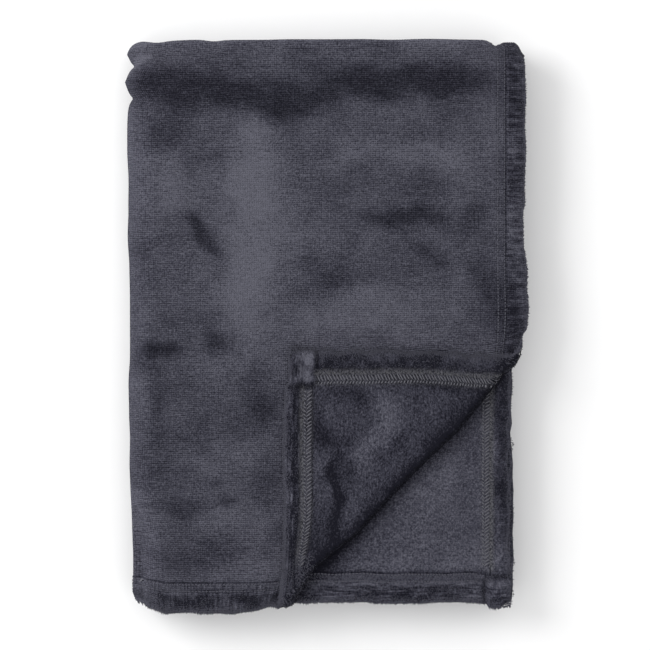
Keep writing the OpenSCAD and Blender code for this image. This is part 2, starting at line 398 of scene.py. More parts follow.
# Across a hem, in millimetres: distance from its edge, and height over the flat cloth.
NEEDLE_BAND = (
    [0, 3, 8, 13, 16.5, 18.5, 20, 21.5, 23, 24.5, 26.5, 31],
    [0.6, 2.4, 3.6, 3.0, 1.6, -1.2, 0.1, 0.5, 0.2, -0.9, 0.5, 0.1],
)
LOOPER_BAND = (
    [0, 3, 7, 11, 13, 15, 17.5, 21.5, 25.5, 27, 31],
    [0.8, 3.0, 4.0, 3.0, 1.0, 1.0, 0.0, 0.3, 0.0, -0.5, 0.1],
)
CORNER_ROUND = 11 * MM
BLOCK = 24 * MM
HEM_TUCKS = Ripple(7, 9 * MM, 30 * MM)


def block_seam(u, v):
    """1 along the furrows that set off the blocks where two hems cross."""
    du, dv = edge_millimetres(u, v)
    last = v > LENGTH / 2
    wide, tall = np.where(last, 22.5, 31), np.where(last, 23, 27.5)
    a = bell(dv, wide, 1.7) * ease((tall + 1 - du) / 4)
    b = bell(du, tall, 1.7) * ease((wide - dv) / 4)
    return np.maximum(a, b)


def hem_swell(u, v, face, room):
    """Extra height in millimetres over the flat cloth, for one face of the sheet."""
    du, dv = edge_millimetres(u, v)
    band, last_band = (NEEDLE_BAND, LOOPER_BAND) if face > 0 else (LOOPER_BAND, NEEDLE_BAND)
    a = np.interp(du, *band)
    b = np.where(v < LENGTH / 2, np.interp(dv, *band), np.interp(dv, *last_band))
    swell = np.maximum(a, b) + 0.45 * np.minimum(np.maximum(a, 0), np.maximum(b, 0))
    block = np.where(v < LENGTH / 2, BLOCK / MM + 4, 21.5)
    swell += 2.0 * ease((block - du) / 6) * ease((block - dv) / 6)
    swell -= 3.4 * block_seam(u, v)
    swell *= 1 + 0.38 * HEM_TUCKS(u + v, u - v)
    return np.maximum(swell, 0) * room + np.minimum(swell, 0) * np.maximum(room, 0.3)


def rounded(u, v):
    """Rounds the sheet's four corners."""
    du, dv = edge_distances(u, v)
    a, b = np.clip(1 - du / CORNER_ROUND, 0, 1), np.clip(1 - dv / CORNER_ROUND, 0, 1)
    shrink = np.maximum(a, b) / np.maximum(np.hypot(a, b), 1e-9)
    shrink = np.where((a > 0) & (b > 0), shrink, 1)
    du2 = np.where(a > 0, CORNER_ROUND * (1 - a * shrink), du)
    dv2 = np.where(b > 0, CORNER_ROUND * (1 - b * shrink), dv)
    return np.where(u < WIDTH / 2, du2, WIDTH - du2), np.where(v < LENGTH / 2, dv2, LENGTH - dv2)


def half_thickness(u, v, face, room):
    """Height of one face over the sheet's middle, round at the hems' edges."""
    t = HALF + hem_swell(u, v, face, room) * MM
    d = nearest_edge(u, v)
    return t * np.sqrt(np.clip(1 - np.clip(1 - d / (1.3 * t), 0, 1) ** 2, 0.01, 1))


# ---- settling of the whole stack
LOFT = Ripple(21, 90 * MM, 120 * MM)
LOFT_FINE = Ripple(22, 34 * MM, 45 * MM)
TOP_WAVE = Ripple(23, 30 * MM, 60 * MM)
STACK_TOP = high("ply_01").z
LEFT_WAVE = Ripple(24, 26 * MM, 50 * MM)
# Where the turns show at the spine: y and width in millimetres, and how deep the gap between them is.
LOBES = [(231.5, 5.0, 7.0), (202.5, 5.5, 6.0), (217, 8, -3.2), (246, 6, -1.5)]
# The line of the sunk wrinkle at the spine's lower end, in millimetres.
WRINKLE_Y = [-240, -228, -219, -206, -200, -190, -165, -150]
WRINKLE_X = [-182, -170, -167, -170, -157, -160, -168.5, -182]


def settled(p):
    """The small shifts by which the soft stack leaves its plain shape. Neighbours move together."""
    x, y, z = p[:, 0].copy(), p[:, 1].copy(), p[:, 2].copy()
    up = np.clip((z - SPINE_Z) / (STACK_TOP - SPINE_Z), 0, None)
    out = p.copy()
    across = np.minimum(x - SPINE_X + 20 * MM, SIDE_X - x)
    edge = np.minimum(across, np.minimum(y - END_Y, TOP_Y + 5 * MM - y))
    droop = (1 - ramp(edge, 38)) * 2.4 * MM
    out[:, 2] += up * ((0.8 * LOFT(x, y) + 0.3 * LOFT_FINE(x, y)) * MM - droop)
    left = ramp(SPINE_X + 30 * MM - x, 40)
    notch = sum(depth * np.exp(-np.abs(y - at * MM) / (wide * MM)) for at, wide, depth in LOBES) * MM
    recede = 5.5 * MM * ramp(-135 * MM - y, 75) * ease((up - 0.3) / 0.25)
    belly = -1.6 * MM * bell(y, 160 * MM, 80 * MM) + 0.9 * MM * LEFT_WAVE(y, 0 * y)
    drawn_in = 3.6 * MM * ramp(-110 * MM - y, 80)
    out[:, 0] += left * (notch * (0.4 + 0.6 * ease(z / SPINE_Z)) + recede + belly + drawn_in)
    wrinkle = np.interp(y / MM, WRINKLE_Y, WRINKLE_X) * MM
    out[:, 2] -= 4.0 * MM * ramp(wrinkle - x, 2.5) * ease((up - 0.2) / 0.4)
    top = ramp(y - TOP_Y + 25 * MM, 30)
    out[:, 1] += top * (0.9 * TOP_WAVE(x, z) - 0.3) * MM
    hem_over = 4.5 * bell(x, SIDE_X - 27 * MM, 5 * MM) + 2.0 * ramp(x - SIDE_X + 30 * MM, 8)
    hem_over += 9 * ramp(x - SIDE_X + 13 * MM, 13) ** 2
    out[:, 1] -= hem_over * MM * ramp(y - TOP_Y + 12 * MM, 18)
    near_spine = np.clip((SPINE_X - 8 * MM - x) / (17 * MM), 0, 1)
    out[:, 1] -= 4.5 * MM * near_spine ** 2.2 * ramp(y - TOP_Y + 10 * MM, 12)
    dips = 1.6 * bell(x, -150 * MM, 9 * MM) + 1.3 * bell(x, -100 * MM, 8 * MM)
    dips = dips - 0.8 * bell(x, 90 * MM, 50 * MM)
    out[:, 1] -= (dips + 1.2 * ramp(-110 * MM - x, 40)) * MM * top
    out[:, 1] += 9 * MM * near_spine ** 2.6 * ramp(END_Y + 22 * MM - y, 22)
    out[:, 0] += 2.0 * MM * near_spine * ramp(END_Y + 16 * MM - y, 20)
    out[:, 2] = np.maximum(out[:, 2], CLOTH_GAP)
    return out


# ---- brushing of the nap, with painted shade and a painted highlight
NAP_BROAD = Ripple(31, 85 * MM, 42 * MM)
NAP_MID = Ripple(32, 34 * MM, 20 * MM)
NAP_FINE = Ripple(33, 12 * MM, 7 * MM)
NAP_WARP = Ripple(34, 26 * MM)
# Marks of a hand in the top ply's nap, and one painted highlight: x, y, half length and half width
# in millimetres, slope in degrees, and how dark they are.
MARKS = [
    # The first, light mark is a painted highlight along a wrinkle's crease at the spine's notch.
    (-167, 234, 10, 1.9, 37, -1.0), (-160, 214, 30, 12, 8, 0.45), (-120, -130, 60, 80, 0, 0.13),
    (105, 30, 60, 100, 0, 0.12), (-62, 110, 34, 80, 4, -0.3), (-95, 205, 62, 17, -4, 0.75),
    (-20, 198, 30, 12, 10, 0.5), (52, 214, 60, 15, -6, 0.85), (112, 220, 44, 13, -3, 0.75),
    (-108, 84, 22, 7, -52, 0.8), (-124, 98, 14, 6, -20, 0.4), (-142, -20, 17, 6, 0, 0.75),
    (-100, -18, 9, 12, 0, 0.5), (66, 98, 34, 7, 4, 0.7), (128, 100, 16, 12, 60, 0.45),
    (92, 62, 20, 7, -30, 0.35), (146, 30, 16, 30, 20, 0.5), (-84, 150, 40, 9, 8, 0.35),
    (-137, 172, 18, 20, 0, 0.5), (-128, -160, 24, 8, -8, 0.5), (-86, -158, 13, 6, 12, 0.6),
    (-60, -60, 14, 34, 8, 0.4), (-150, -60, 8, 40, 0, 0.3), (-45, -165, 12, 40, 0, 0.35),
    (-110, -205, 40, 10, 5, 0.4), (10, 40, 26, 9, -14, 0.3), (20, 150, 26, 8, 12, -0.4),
    (-60, 120, 18, 60, 6, -0.45), (80, 150, 30, 14, 0, -0.4), (-70, 20, 18, 60, 0, -0.45),
    (-96, -120, 30, 22, 0, -0.35), (40, 20, 60, 16, 4, -0.25), (-50, -30, 20, 40, 0, -0.2),
    (120, 140, 22, 26, 30, -0.3), (-140, 130, 10, 30, 0, -0.3),
]
CORNER_MARKS = [
    (-8, -95, 11, 20, 12, 0.6), (24, -64, 16, 9, -30, 0.45), (70, -48, 26, 7, -10, 0.5),
    (8, -150, 5, 34, 4, 0.9), (14, -120, 9, 22, 0, 0.5), (105, -52, 26, 8, -14, 0.55),
    (36, -104, 34, 12, 34, -0.5), (52, -74, 16, 12, 30, -0.4), (-14, -190, 9, 24, -8, 0.5),
    (60, -115, 30, 7, 46, 0.35), (8, -182, 10, 14, 30, 0.4),
]


def hem_band(u, v, start, end):
    """1 between these distances from the hems' edges, with soft sides."""
    d = nearest_edge(u, v)
    return ease((d - start) / (1.5 * MM) + 0.5) * ease((end - d) / (1.5 * MM) + 0.5)


def strip(d, start, end):
    """1 between these distances in millimetres."""
    return ramp(d - start * MM, 2) * ramp(end * MM - d, 1.5)


def allowance(d):
    return np.maximum(strip(d, 13, 19), 0.3 * strip(d, 17, 28))


def past_block(d):
    return ramp(d - 25 * MM, 4)


def raw_edge(u, v, face):
    """1 on the raw edge of the hems' allowance, on the face with the looper thread."""
    d_side, d_end = edge_distances(u, v)
    on_side = np.where(face < 0, 1, 0)
    on_end = np.where((v < LENGTH / 2) == (face < 0), 1, 0)
    curl = 1 - ramp(u - 168 * MM, 14) * (v < LENGTH / 2)
    by_side = allowance(d_side) * on_side * past_block(d_end)
    return np.maximum(by_side, allowance(d_end) * on_end * past_block(d_side) * curl)


def brushing_and_painted_light(x, y, u, v, marks, amount):
    """How dark the pile lies, from -1 to 1, from its brushing and from painted shade along the hems' seams.
    """
    nap = amount * (0.45 * NAP_BROAD(u, v) + 0.34 * NAP_MID(u, v) + 0.2 * NAP_FINE(u, v))
    curls = 0.55 + 0.5 * NAP_MID(v, u) + 0.45 * NAP_FINE(u + v, u - v)
    nap = nap + hem_band(u, v, 1.5 * MM, 15 * MM) * curls
    du, dv = edge_millimetres(u, v)
    # Painted shade: the pile darkens a little across the stitches' band, and more in the seam furrows and
    # around the blocks where the hems cross.
    furrow = np.maximum(bell(du, 17.0, 1.1) * (dv > 24), bell(dv, 25.9, 1.1) * (du > 20))
    nap = nap + 0.12 * hem_band(u, v, 16.5 * MM, 25.5 * MM) + 0.8 * block_seam(u, v) + 0.9 * furrow
    wx = x + 5 * MM * NAP_WARP(x, y) + 2.5 * MM * NAP_FINE(x, y)
    wy = y + 5 * MM * NAP_WARP(y + 1, x) + 2.5 * MM * NAP_FINE(y + 1, x)
    for mx, my, half_l, half_w, slope, dark in marks:
        c, s = math.cos(math.radians(slope)), math.sin(math.radians(slope))
        a = ((wx - mx * MM) * c + (wy - my * MM) * s) / (half_l * MM)
        b = (-(wx - mx * MM) * s + (wy - my * MM) * c) / (half_w * MM)
        nap = nap + 1.25 * dark * np.exp(-(a**2 + b**2) ** 1.4)
    return np.clip(nap, -1, 1)


def plain_tone(x, y, u, v, face):
    return brushing_and_painted_light(x, y, u, v, [], 0.7)


# ---- meshes
def steps(*stops):
    """Lines from stop to stop: position, spacing, position, spacing, ..., position."""
    lines = [stops[0]]
    for start, gap, end in zip(stops[:-2:2], stops[1::2], stops[2::2]):
        count = max(1, round((end - start) / gap))
        lines += [start + (end - start) * k / count for k in range(1, count + 1)]
    return lines


HEM_STOPS = (0, 0.25, 0.7, 1.4, 2.4, 4, 6, 8, 10, 12, 14, 16, 17.3, 18.5, 19.7, 21.5, 23.3, 24.5, 25.7, 27.5)
HEM_LINES = [d * MM for d in HEM_STOPS + (30,)]
LEAF_GAP = 0.11 * MM
SHARP = 1.2  # radians between faces, past which an edge is shaded sharp


def in_scene(name, data):
    made = bpy.data.objects.new(name, data)
    SCENE.collection.objects.link(made)
    return made


def as_mesh(bm, name):
    mesh = bpy.data.meshes.new(name)
    bm.to_mesh(mesh)
    bm.free()
    return mesh


def from_start(origin):
    return [origin + d for d in HEM_LINES]


def from_end(origin):
    return [origin - d for d in reversed(HEM_LINES)]


def in_its_leaf(p, u):
    """Cloth of the front leaf stays above the leaves' parting, and cloth of the back leaf below it."""
    front = (u <= U[1]) | (u >= U[6])
    back = (u >= U[2]) & (u <= U[5])
    above = np.maximum(p[:, 2], SPINE_Z + LEAF_GAP)
    below = np.minimum(p[:, 2], SPINE_Z - LEAF_GAP)
    p[:, 2] = np.where(front, above, np.where(back, below, p[:, 2]))
    return p


def slab(name, us, vs, shape, room, cuts=(), keep=None, tone=plain_tone):
    """A piece of the sheet between these lines of u and v, given its thickness and folded by shape.

    room(u, v, face) is how far the hems may swell. Cuts are distances from the hinge line at which
    the cloth gets an edge along the crease, and keep says which side of the first cut stays."""
    bm = bmesh.new()
    bmesh.ops.create_grid(bm, x_segments=len(us) - 1, y_segments=len(vs) - 1, size=0.5)
    for vert in bm.verts:
        vert.co.x = np.interp((vert.co.x + 0.5) * (len(us) - 1), range(len(us)), us)
        vert.co.y = np.interp((vert.co.y + 0.5) * (len(vs) - 1), range(len(vs)), vs)
    # In the flat sheet u runs against x, so the crease's direction is turned with it.
    point = Vector((SIDE_X - HINGE[0], HINGE[1] - END_Y, 0))
    normal = Vector((-CREASE_IN[0], CREASE_IN[1], 0))
    for k, cut in enumerate(cuts):
        bmesh.ops.bisect_plane(
            bm, geom=bm.verts[:] + bm.edges[:] + bm.faces[:], dist=1e-6,
            plane_co=point + cut * normal, plane_no=normal,
            clear_inner=k == 0 and keep == "stack", clear_outer=k == 0 and keep == "corner",
        )
    back = bmesh.ops.extrude_face_region(bm, geom=bm.faces[:], use_keep_orig=True)["geom"]
    for vert in bm.verts:
        vert.co.z = 1
    for item in back:
        if isinstance(item, bmesh.types.BMVert):
            item.co.z = -1
    flat = np.array([v.co for v in bm.verts])
    u, v = rounded(flat[:, 0], flat[:, 1])
    face = flat[:, 2]
    up = face > 0
    half = np.empty(len(flat))
    for side, on in ((1, up), (-1, ~up)):
        half[on] = side * half_thickness(u[on], v[on], side, room(u[on], v[on], side))
    shaped = in_its_leaf(settled(shape(u, v, half)), u)
    for vert, p in zip(bm.verts, shaped):
        vert.co = p
    bmesh.ops.recalc_face_normals(bm, faces=bm.faces[:])
    uv = bm.loops.layers.uv.new("cloth")
    for e in bm.edges:
        if len(e.link_faces) == 2 and e.calc_face_angle(0) > SHARP:
            e.smooth = False
    for f in bm.faces:
        f.smooth = True
        for loop in f.loops:
            k = loop.vert.index
            loop[uv].uv = (flat[k, 0], flat[k, 1])
    mesh = as_mesh(bm, name)
    nap = tone(shaped[:, 0], shaped[:, 1], u, v, face)
    raw = raw_edge(u, v, face)
    for key, values in (("nap", nap), ("face", (face + 1) / 2), ("raw", raw)):
        mesh.attributes.new(key, "FLOAT", "POINT").data.foreach_set("value", values.astype(np.float32))
    piece = in_scene(name, mesh)
    # Painted shade on the slopes that turn away from the light.
    painted_slope_shade(piece)
    return piece


def painted_slope_shade(piece):
    """Painted shade by slope: the pile is darkened where the surface turns away from the light at the upper
    left, and lightened a little where it turns towards it.
    """
    mesh = piece.data
    normals = np.empty(len(mesh.vertices) * 3, np.float32)
    mesh.vertex_normals.foreach_get("vector", normals)
    normals = normals.reshape(-1, 3)
    data = mesh.attributes["nap"].data
    nap = np.empty(len(mesh.vertices), np.float32)
    data.foreach_get("value", nap)
    nap += np.clip(0.62 * normals[:, 0] - 0.5 * normals[:, 1], -0.16, 0.8) * (normals[:, 2] > -0.3)
    data.foreach_set("value", nap)


V_SECOND = LENGTH - 270 * MM  # where the second ply's open corner begins, under the top ply


def no_room(u, v, face):
    return 0.0


def top_room(u, v, face):
    """The top ply's upper face may swell on the front leaf, and not where it turns under."""
    if face < 0:
        return 0.0
    return ramp(U[1] + 20 * MM - u, 20) * ramp(V[1] + 4 * MM - v, 10)


def second_room(u, v, face):
    """The second ply shows its wrong side at its lower right corner."""
    if face > 0:
        return 0.0
    return 0.9 * ramp(U[1] - u, 20) * ramp(v - V_SECOND, 40)


def corner_room(u, v, face):
    return 1.0 if face < 0 else 0.0


# ---- materials
class Value:
    """A node's output, with arithmetic that adds Math nodes."""

    def __init__(self, maker, socket):
        self.maker, self.socket = maker, socket

    def _math(self, operation, a, b=None):
        sockets = {0: a} if b is None else {0: a, 1: b}
        return self.maker.node("ShaderNodeMath", {"operation": operation}, sockets)

    def __add__(self, other):
        return self._math("ADD", self, other)

    __radd__ = __add__

    def __sub__(self, other):
        return self._math("SUBTRACT", self, other)

    def __rsub__(self, other):
        return self._math("SUBTRACT", other, self)

    def __mul__(self, other):
        return self._math("MULTIPLY", self, other)

    __rmul__ = __mul__

    def clamped(self):
        return self.maker.node("ShaderNodeMath", {"operation": "ADD", "use_clamp": True}, {0: self, 1: 0.0})

    def sine(self):
        return self._math("SINE", self)

    def band(self, start, end, low=0.0, high=1.0):
        """low before start, high after end, and a smooth step between."""
        settings = {"interpolation_type": "SMOOTHSTEP"}
        return self.maker.node(
            "ShaderNodeMapRange", settings,
            {"Value": self, "From Min": start, "From Max": end, "To Min": low, "To Max": high},
        )


class Finish:
    """One material, with a method that adds a node from its settings and its sockets' values or links."""

    def __init__(self, name):
        self.material = bpy.data.materials.new(name)
        self.material.use_nodes = True
        self.tree = self.material.node_tree
        self.tree.nodes.clear()

    def node(self, kind, settings=None, sockets=None, output=0):
        made = self.tree.nodes.new(kind)
        for key, value in (settings or {}).items():
            setattr(made, key, value)
        for key, value in (sockets or {}).items():
            if isinstance(value, Value):
                self.tree.links.new(value.socket, made.inputs[key])
            else:
                made.inputs[key].default_value = value
        return Value(self, made.outputs[output]) if made.outputs else made

    def mix(self, factor, a, b):
        return self.node("ShaderNodeMix", {"data_type": "RGBA"}, {0: factor, 6: a, 7: b}, output=2)

    def scaled(self, vector, by):
        return self.node("ShaderNodeVectorMath", {"operation": "MULTIPLY"}, {0: vector, 1: by})

    def attribute(self, name):
        return self.node("ShaderNodeAttribute", {"attribute_name": name}, output="Fac")

    def noise(self, vector, scale, detail=2.0, roughness=0.5):
        sockets = {"Vector": vector, "Scale": scale, "Detail": detail, "Roughness": roughness}
        return self.node("ShaderNodeTexNoise", None, sockets)

    def shade(self, colour, roughness, bump_height, bump_depth, bump_strength, sheen, sheen_tint):
        normal = self.node(
            "ShaderNodeBump", None, {"Height": bump_height, "Distance": bump_depth, "Strength": bump_strength}
        )
        surface = self.node(
            "ShaderNodeBsdfPrincipled", None,
            {"Base Color": colour, "Roughness": roughness, "Normal": normal, "Sheen Weight": sheen,
             "Sheen Roughness": 0.45, "Sheen Tint": sheen_tint, "Specular IOR Level": 0.06},
        )
        self.node("ShaderNodeOutputMaterial", None, {"Surface": surface})
        return self.material


COURSE, WALE = 1.75e-3, 1.6e-3  # the knit's rows, along the length and across it


def fleece():
    """Flannel fleece: fine knit ribs under a short pile raised by brushing, darker and lighter where a hand
    passed, and where painted shade and highlights lie in its tone.
    """
    f = Finish("fleece")
    cloth = f.node("ShaderNodeUVMap", {"uv_map": "cloth"})
    across = f.node("ShaderNodeSeparateXYZ", None, {0: cloth}, output="X")
    along = f.node("ShaderNodeSeparateXYZ", None, {0: cloth}, output="Y")
    nap, face = f.attribute("nap"), f.attribute("face")
    drift = f.noise(cloth, 90.0, 2.0)
    course = (along * (2 * math.pi / COURSE) + drift * 9.0).sine()
    wale = (across * (2 * math.pi / WALE) + drift * 7.0).sine()
    raw = f.attribute("raw")
    tufts = f.noise(cloth, 560.0, 3.0, 0.7)
    clumps = f.noise(cloth, 260.0, 3.0, 0.6)
    patch = f.noise(cloth, 38.0, 3.0, 0.6)
    streak = f.noise(f.scaled(cloth, (75.0, 430.0, 1.0)), 1.0, 2.0, 0.6)
    knit = (course * 0.8 + wale * 0.4 + (streak - 0.5) * 2.6) * (0.25 + 0.75 * face)
    pile = (tufts - 0.5) * 2.6 + (clumps - 0.5) * (1.2 - 0.4 * face)
    # The plush lies in ridges along the hems' rolled edges.
    end_band = along.band(0.016, 0.020, 1.0, 0.0) + along.band(LENGTH - 0.020, LENGTH - 0.016)
    by_end = f.noise(f.scaled(cloth, (60.0, 420.0, 1.0)), 1.0, 2.0, 0.6)
    down_side = f.noise(f.scaled(cloth, (50.0, 300.0, 1.0)), 1.0, 2.0, 0.6)
    down_end = f.noise(f.scaled(cloth, (360.0, 50.0, 1.0)), 1.0, 2.0, 0.6)
    side_tucks = (down_side - 0.5) * across.band(0.015, 0.018, 1.0, 0.0)
    end_fall = (down_end - 0.5) * along.band(0.023, 0.026, 1.0, 0.0)
    ridges = (by_end - 0.5) * end_band * (1.0 - face) + (side_tucks * 0.7 + end_fall * 0.7) * face
    lift = 0.61 + ridges * 2.4 - nap * 0.52 + (patch - 0.5) * 0.5
    lift = (lift + knit * 0.2 + pile * (0.80 - 0.06 * face)).clamped()
    dark, mid, light = (0.0070, 0.0070, 0.0125, 1), (0.0480, 0.0480, 0.0660, 1), (0.130, 0.130, 0.162, 1)
    colour = f.mix((lift * 2.0).clamped(), dark, mid)
    colour = f.mix((lift * 2.0 - 1.0).clamped(), colour, light)
    fuzz = f.mix(tufts.band(0.38, 0.6), (0.020, 0.020, 0.025, 1), (0.140, 0.140, 0.152, 1))
    colour = f.mix((raw * 0.8).clamped(), colour, fuzz)
    height = knit * 0.3 + pile * 0.6
    return f.shade(colour, 0.92, height, 0.0016, 1.0, 0.14, (0.62, 0.62, 0.78, 1))


def thread(name, colour, sheen=0.2):
    f = Finish(name)
    place = f.node("ShaderNodeTexCoord", output="Object")
    fibre = f.noise(place, 2600.0, 2.0)
    tone = f.mix(fibre, tuple(c * 0.6 for c in colour) + (1,), tuple(c * 1.4 for c in colour) + (1,))
    return f.shade(tone, 0.75, fibre, 0.0002, 0.5, sheen, (0.7, 0.7, 0.85, 1))


def floor_finish():
    f = Finish("studio_floor")
    place = f.node("ShaderNodeTexCoord", output="Object")
    grain = f.noise(place, 40.0, 2.0)
    tone = f.mix(grain, (0.93, 0.93, 0.932, 1), (0.945, 0.945, 0.948, 1))
    return f.shade(tone, 0.9, grain, 0.0001, 0.05, 0.0, (1, 1, 1, 1))


FLEECE = fleece()
PILE = thread("pile_tufts", (0.070, 0.070, 0.090))
# Painted shadow: the crease's tufts are near-black, for the dark line along the fold's edge.
CREASE_SHADOW_PILE = thread("crease_tufts", (0.009, 0.009, 0.014), 0.0)
NEEDLE_THREAD = thread("needle_thread", (0.080, 0.080, 0.100))
LOOPER_THREAD = thread("looper_thread", (0.120, 0.120, 0.136))

# ---- the sheet's pieces
def between(lines, start, end):
    """The lines from start to end, both of which are among them."""
    return [a for a in lines if start - 1e-9 <= a <= end + 1e-9]


U_OUTER = from_start(0) + steps(30 * MM, 4 * MM, U[1], 2 * MM, U[2], 12 * MM, U_REAR)[1:]
U_INNER = steps(U_REAR, 3 * MM, U[4], 12 * MM, U[5], 1 * MM, U[6], 12 * MM, U[7] - 30 * MM)
U_INNER = U_INNER[:-1] + from_end(WIDTH)
V_FIRST = from_start(0) + steps(30 * MM, 4 * MM, 425 * MM, 1.7 * MM, V[1], 1.6 * MM, V[2])[1:]
V_REST = steps(
    V[2], 12 * MM, V[3], 0.8 * MM, V[4], 12 * MM, V[5], 0.8 * MM, V[6],
    9 * MM, V_SECOND, 4 * MM, LENGTH - 30 * MM,
)
V_REST = V_REST[:-1] + from_end(LENGTH)
V_FIRST_COARSE = from_start(0) + steps(30 * MM, 9 * MM, V[1], 1.6 * MM, V[2])[1:]


def top_tone(x, y, u, v, face):
    front = (face > 0) * ramp(U[1] + 60 * MM - u, 30)
    hem = 0.6 * ramp(22 * MM - v, 4) * (0.6 + NAP_FINE(u, v) + 0.7 * NAP_MID(u, v))
    return (brushing_and_painted_light(x, y, u, v, MARKS, 0.5) - 0.05 + hem) * front + plain_tone(x, y, u, v, face) * (1 - front)


def corner_tone(x, y, u, v, face):
    t, s = crease_frame(u, v)
    back = -s - ROLL
    block = ramp(26 * MM - u, 4) * ramp(29 * MM - v, 4) * ramp(v - 5 * MM, 8)
    # Painted shade: the corner darkens toward the crease, where its roll turns away from the light, over a
    # darker tone across the whole corner.
    shade = 0.34 + 0.85 * np.exp(-np.maximum(back, 0) / (13 * MM))
    return brushing_and_painted_light(x, y, u, v, CORNER_MARKS, 0.5) + shade - 1.3 * block


def second_tone(x, y, u, v, face):
    """Painted shadow: the second ply darkens along the crease, under and beside the roll above it, where its
    wrong side shows.
    """
    near = (x - HINGE[0]) * CREASE_IN[0] + (y - HINGE[1]) * CREASE_IN[1]
    shown = (face < 0) * (v > LENGTH - 300 * MM) * ramp(U[1] - u, 20)
    # Painted shadow of the crease's roll on the second ply.
    painted_fold_shadow = 1.5 * np.exp(-np.abs(near + 1 * MM) / (8 * MM))
    return brushing_and_painted_light(x, y, u, v, [], 0.45) + shown * (painted_fold_shadow + 0.02)


CUTS_STACK = [-ROLL / 2] + [d * MM for d in (-3.3, -2.2, -1.1, 0, 2, 5, 9)]
CUTS_CORNER = [-ROLL / 2] + [-ROLL + d * MM for d in (3.3, 2.2, 1.1, 0, -2, -5, -9, -14)]

# Across the width the sheet runs through both leaves: front, spine and back, then back, spine and
# front again inside.
OUTER_PARTS = (("front", 0, U[1]), ("spine", U[1], U[2]), ("back", U[2], U_REAR))
SHEETS = {}
for part, start, end in OUTER_PARTS:
    lines = between(U_OUTER, start, end)
    cut = (CUTS_STACK, "stack") if part == "front" else ((), None)
    where = "outer spine" if part == "spine" else part
    first = slab("outer_%s_first" % part, lines, V_FIRST, top_ply, top_room, *cut, tone=top_tone)
    last = V_SECOND if part == "front" else LENGTH
    runs = between(V_REST, V_TOP, last)
    rest = slab("outer_%s_rest" % part, lines, runs, folded, second_room, tone=second_tone)
    SHEETS[first.name] = (first, where, end - start, V_TOP)
    SHEETS[rest.name] = (rest, where, end - start, last - V_TOP)
second = slab(
    "second_corner_cloth", between(U_OUTER, 0, U[1]), between(V_REST, V_SECOND, LENGTH), folded, second_room,
    tone=second_tone,
)
SHEETS[second.name] = (second, "second corner", U[1], LENGTH - V_SECOND)
for part, lines, length in (("first", V_FIRST_COARSE, V_TOP), ("rest", V_REST, LENGTH - V_TOP)):
    inner = slab("inner_cloth_%s" % part, U_INNER, lines, folded, no_room)
    SHEETS[inner.name] = (inner, "inner spine", WIDTH - U_REAR, length)
FLAP_U = from_start(0) + steps(30 * MM, 3 * MM, 240 * MM)[1:]
FLAP_V = from_start(0) + steps(30 * MM, 3 * MM, 260 * MM)[1:]
corner = slab(
    "turned_corner_cloth", FLAP_U, FLAP_V, turned_corner, corner_room, CUTS_CORNER, "corner", corner_tone
)
for piece in [entry[0] for entry in SHEETS.values()] + [corner]:
    piece.data.materials.append(FLEECE)

# ---- thread and pile
def repeated(unit, count):
    """A mesh with this many copies of a unit, made by doubling it."""
    total, block = bmesh.new(), bmesh.new()
    block.from_mesh(unit)
    while count:
        step = bpy.data.meshes.new("step")
        block.to_mesh(step)
        if count & 1:
            total.from_mesh(step)
        block.from_mesh(step)
        bpy.data.meshes.remove(step)
        count >>= 1
    block.free()
    return as_mesh(total, "repeated")


def strand(sides, rings):
    """A short rounded strand from -0.5 to 0.5 along X, 1 across."""
    bm = bmesh.new()
    turn = Matrix.Rotation(math.pi / 2, 4, "Y")
    bmesh.ops.create_uvsphere(bm, u_segments=sides, v_segments=rings, radius=0.5, matrix=turn)
    return as_mesh(bm, "strand")


def hair():
    """A three-sided tapered tuft from 0 to 1 along X."""
    bm = bmesh.new()
    place = Matrix.Translation((0.5, 0, 0)) @ Matrix.Rotation(math.pi / 2, 4, "Y")
    bmesh.ops.create_cone(bm, segments=3, radius1=0.5, radius2=0.08, depth=1, cap_ends=False, matrix=place)
    return as_mesh(bm, "hair")


STRAND, FAR_STRAND, HAIR = strand(6, 5), strand(4, 3), hair()


def laid(name, unit, starts, ends, thick, shape, material, body):
    """Copies of a unit, each from a start to an end in the flat sheet (u, v, w), folded by shape."""
    count = len(starts)
    mesh = repeated(unit, count)
    base = np.array([v.co for v in unit.vertices])
    if base[:, 0].min() < -0.1:
        base = base + np.array([0.5, 0, 0])
    along = ends - starts
    length = np.linalg.norm(along, axis=1, keepdims=True)
    forward = along / length
    helper = np.where(np.abs(forward[:, 2:3]) < 0.8, [[0, 0, 1.0]], [[1.0, 0, 0]])
    left = np.cross(helper, forward)
    left /= np.linalg.norm(left, axis=1, keepdims=True)
    over = np.cross(forward, left)
    flat = starts[:, None] + along[:, None] * base[None, :, 0:1]
    flat = flat + left[:, None] * base[None, :, 1:2] * thick + over[:, None] * base[None, :, 2:3] * thick
    flat = flat.reshape(-1, 3)
    shaped = in_its_leaf(settled(shape(flat[:, 0], flat[:, 1], flat[:, 2])), flat[:, 0])
    mesh.vertices.foreach_set("co", shaped.astype(np.float32).ravel())
    mesh.polygons.foreach_set("use_smooth", [True] * len(mesh.polygons))
    mesh.name = name
    mesh.materials.append(material)
    mesh.update()
    bm = bmesh.new()
    bm.from_mesh(mesh)
    bmesh.ops.recalc_face_normals(bm, faces=bm.faces[:])
    bm.to_mesh(mesh)
    bm.free()
    piece = in_scene(name, mesh)
    BODIES[name] = (piece, body)
    return piece


BODIES = {}


def along_hem(which, distance, place):
    """Sheet positions at a distance from a hem's edge, at these places along it."""
    d = np.broadcast_to(distance, place.shape)
    if which == "side":
        return d, place
    if which == "far side":
        return WIDTH - d, place
    if which == "end":
        return place, d
    return place, LENGTH - d


def on_corner(points):
    return crease_frame(points[:, 0], points[:, 1])[1] < -ROLL / 2


def on_stack(points):
    return ~on_corner(points)


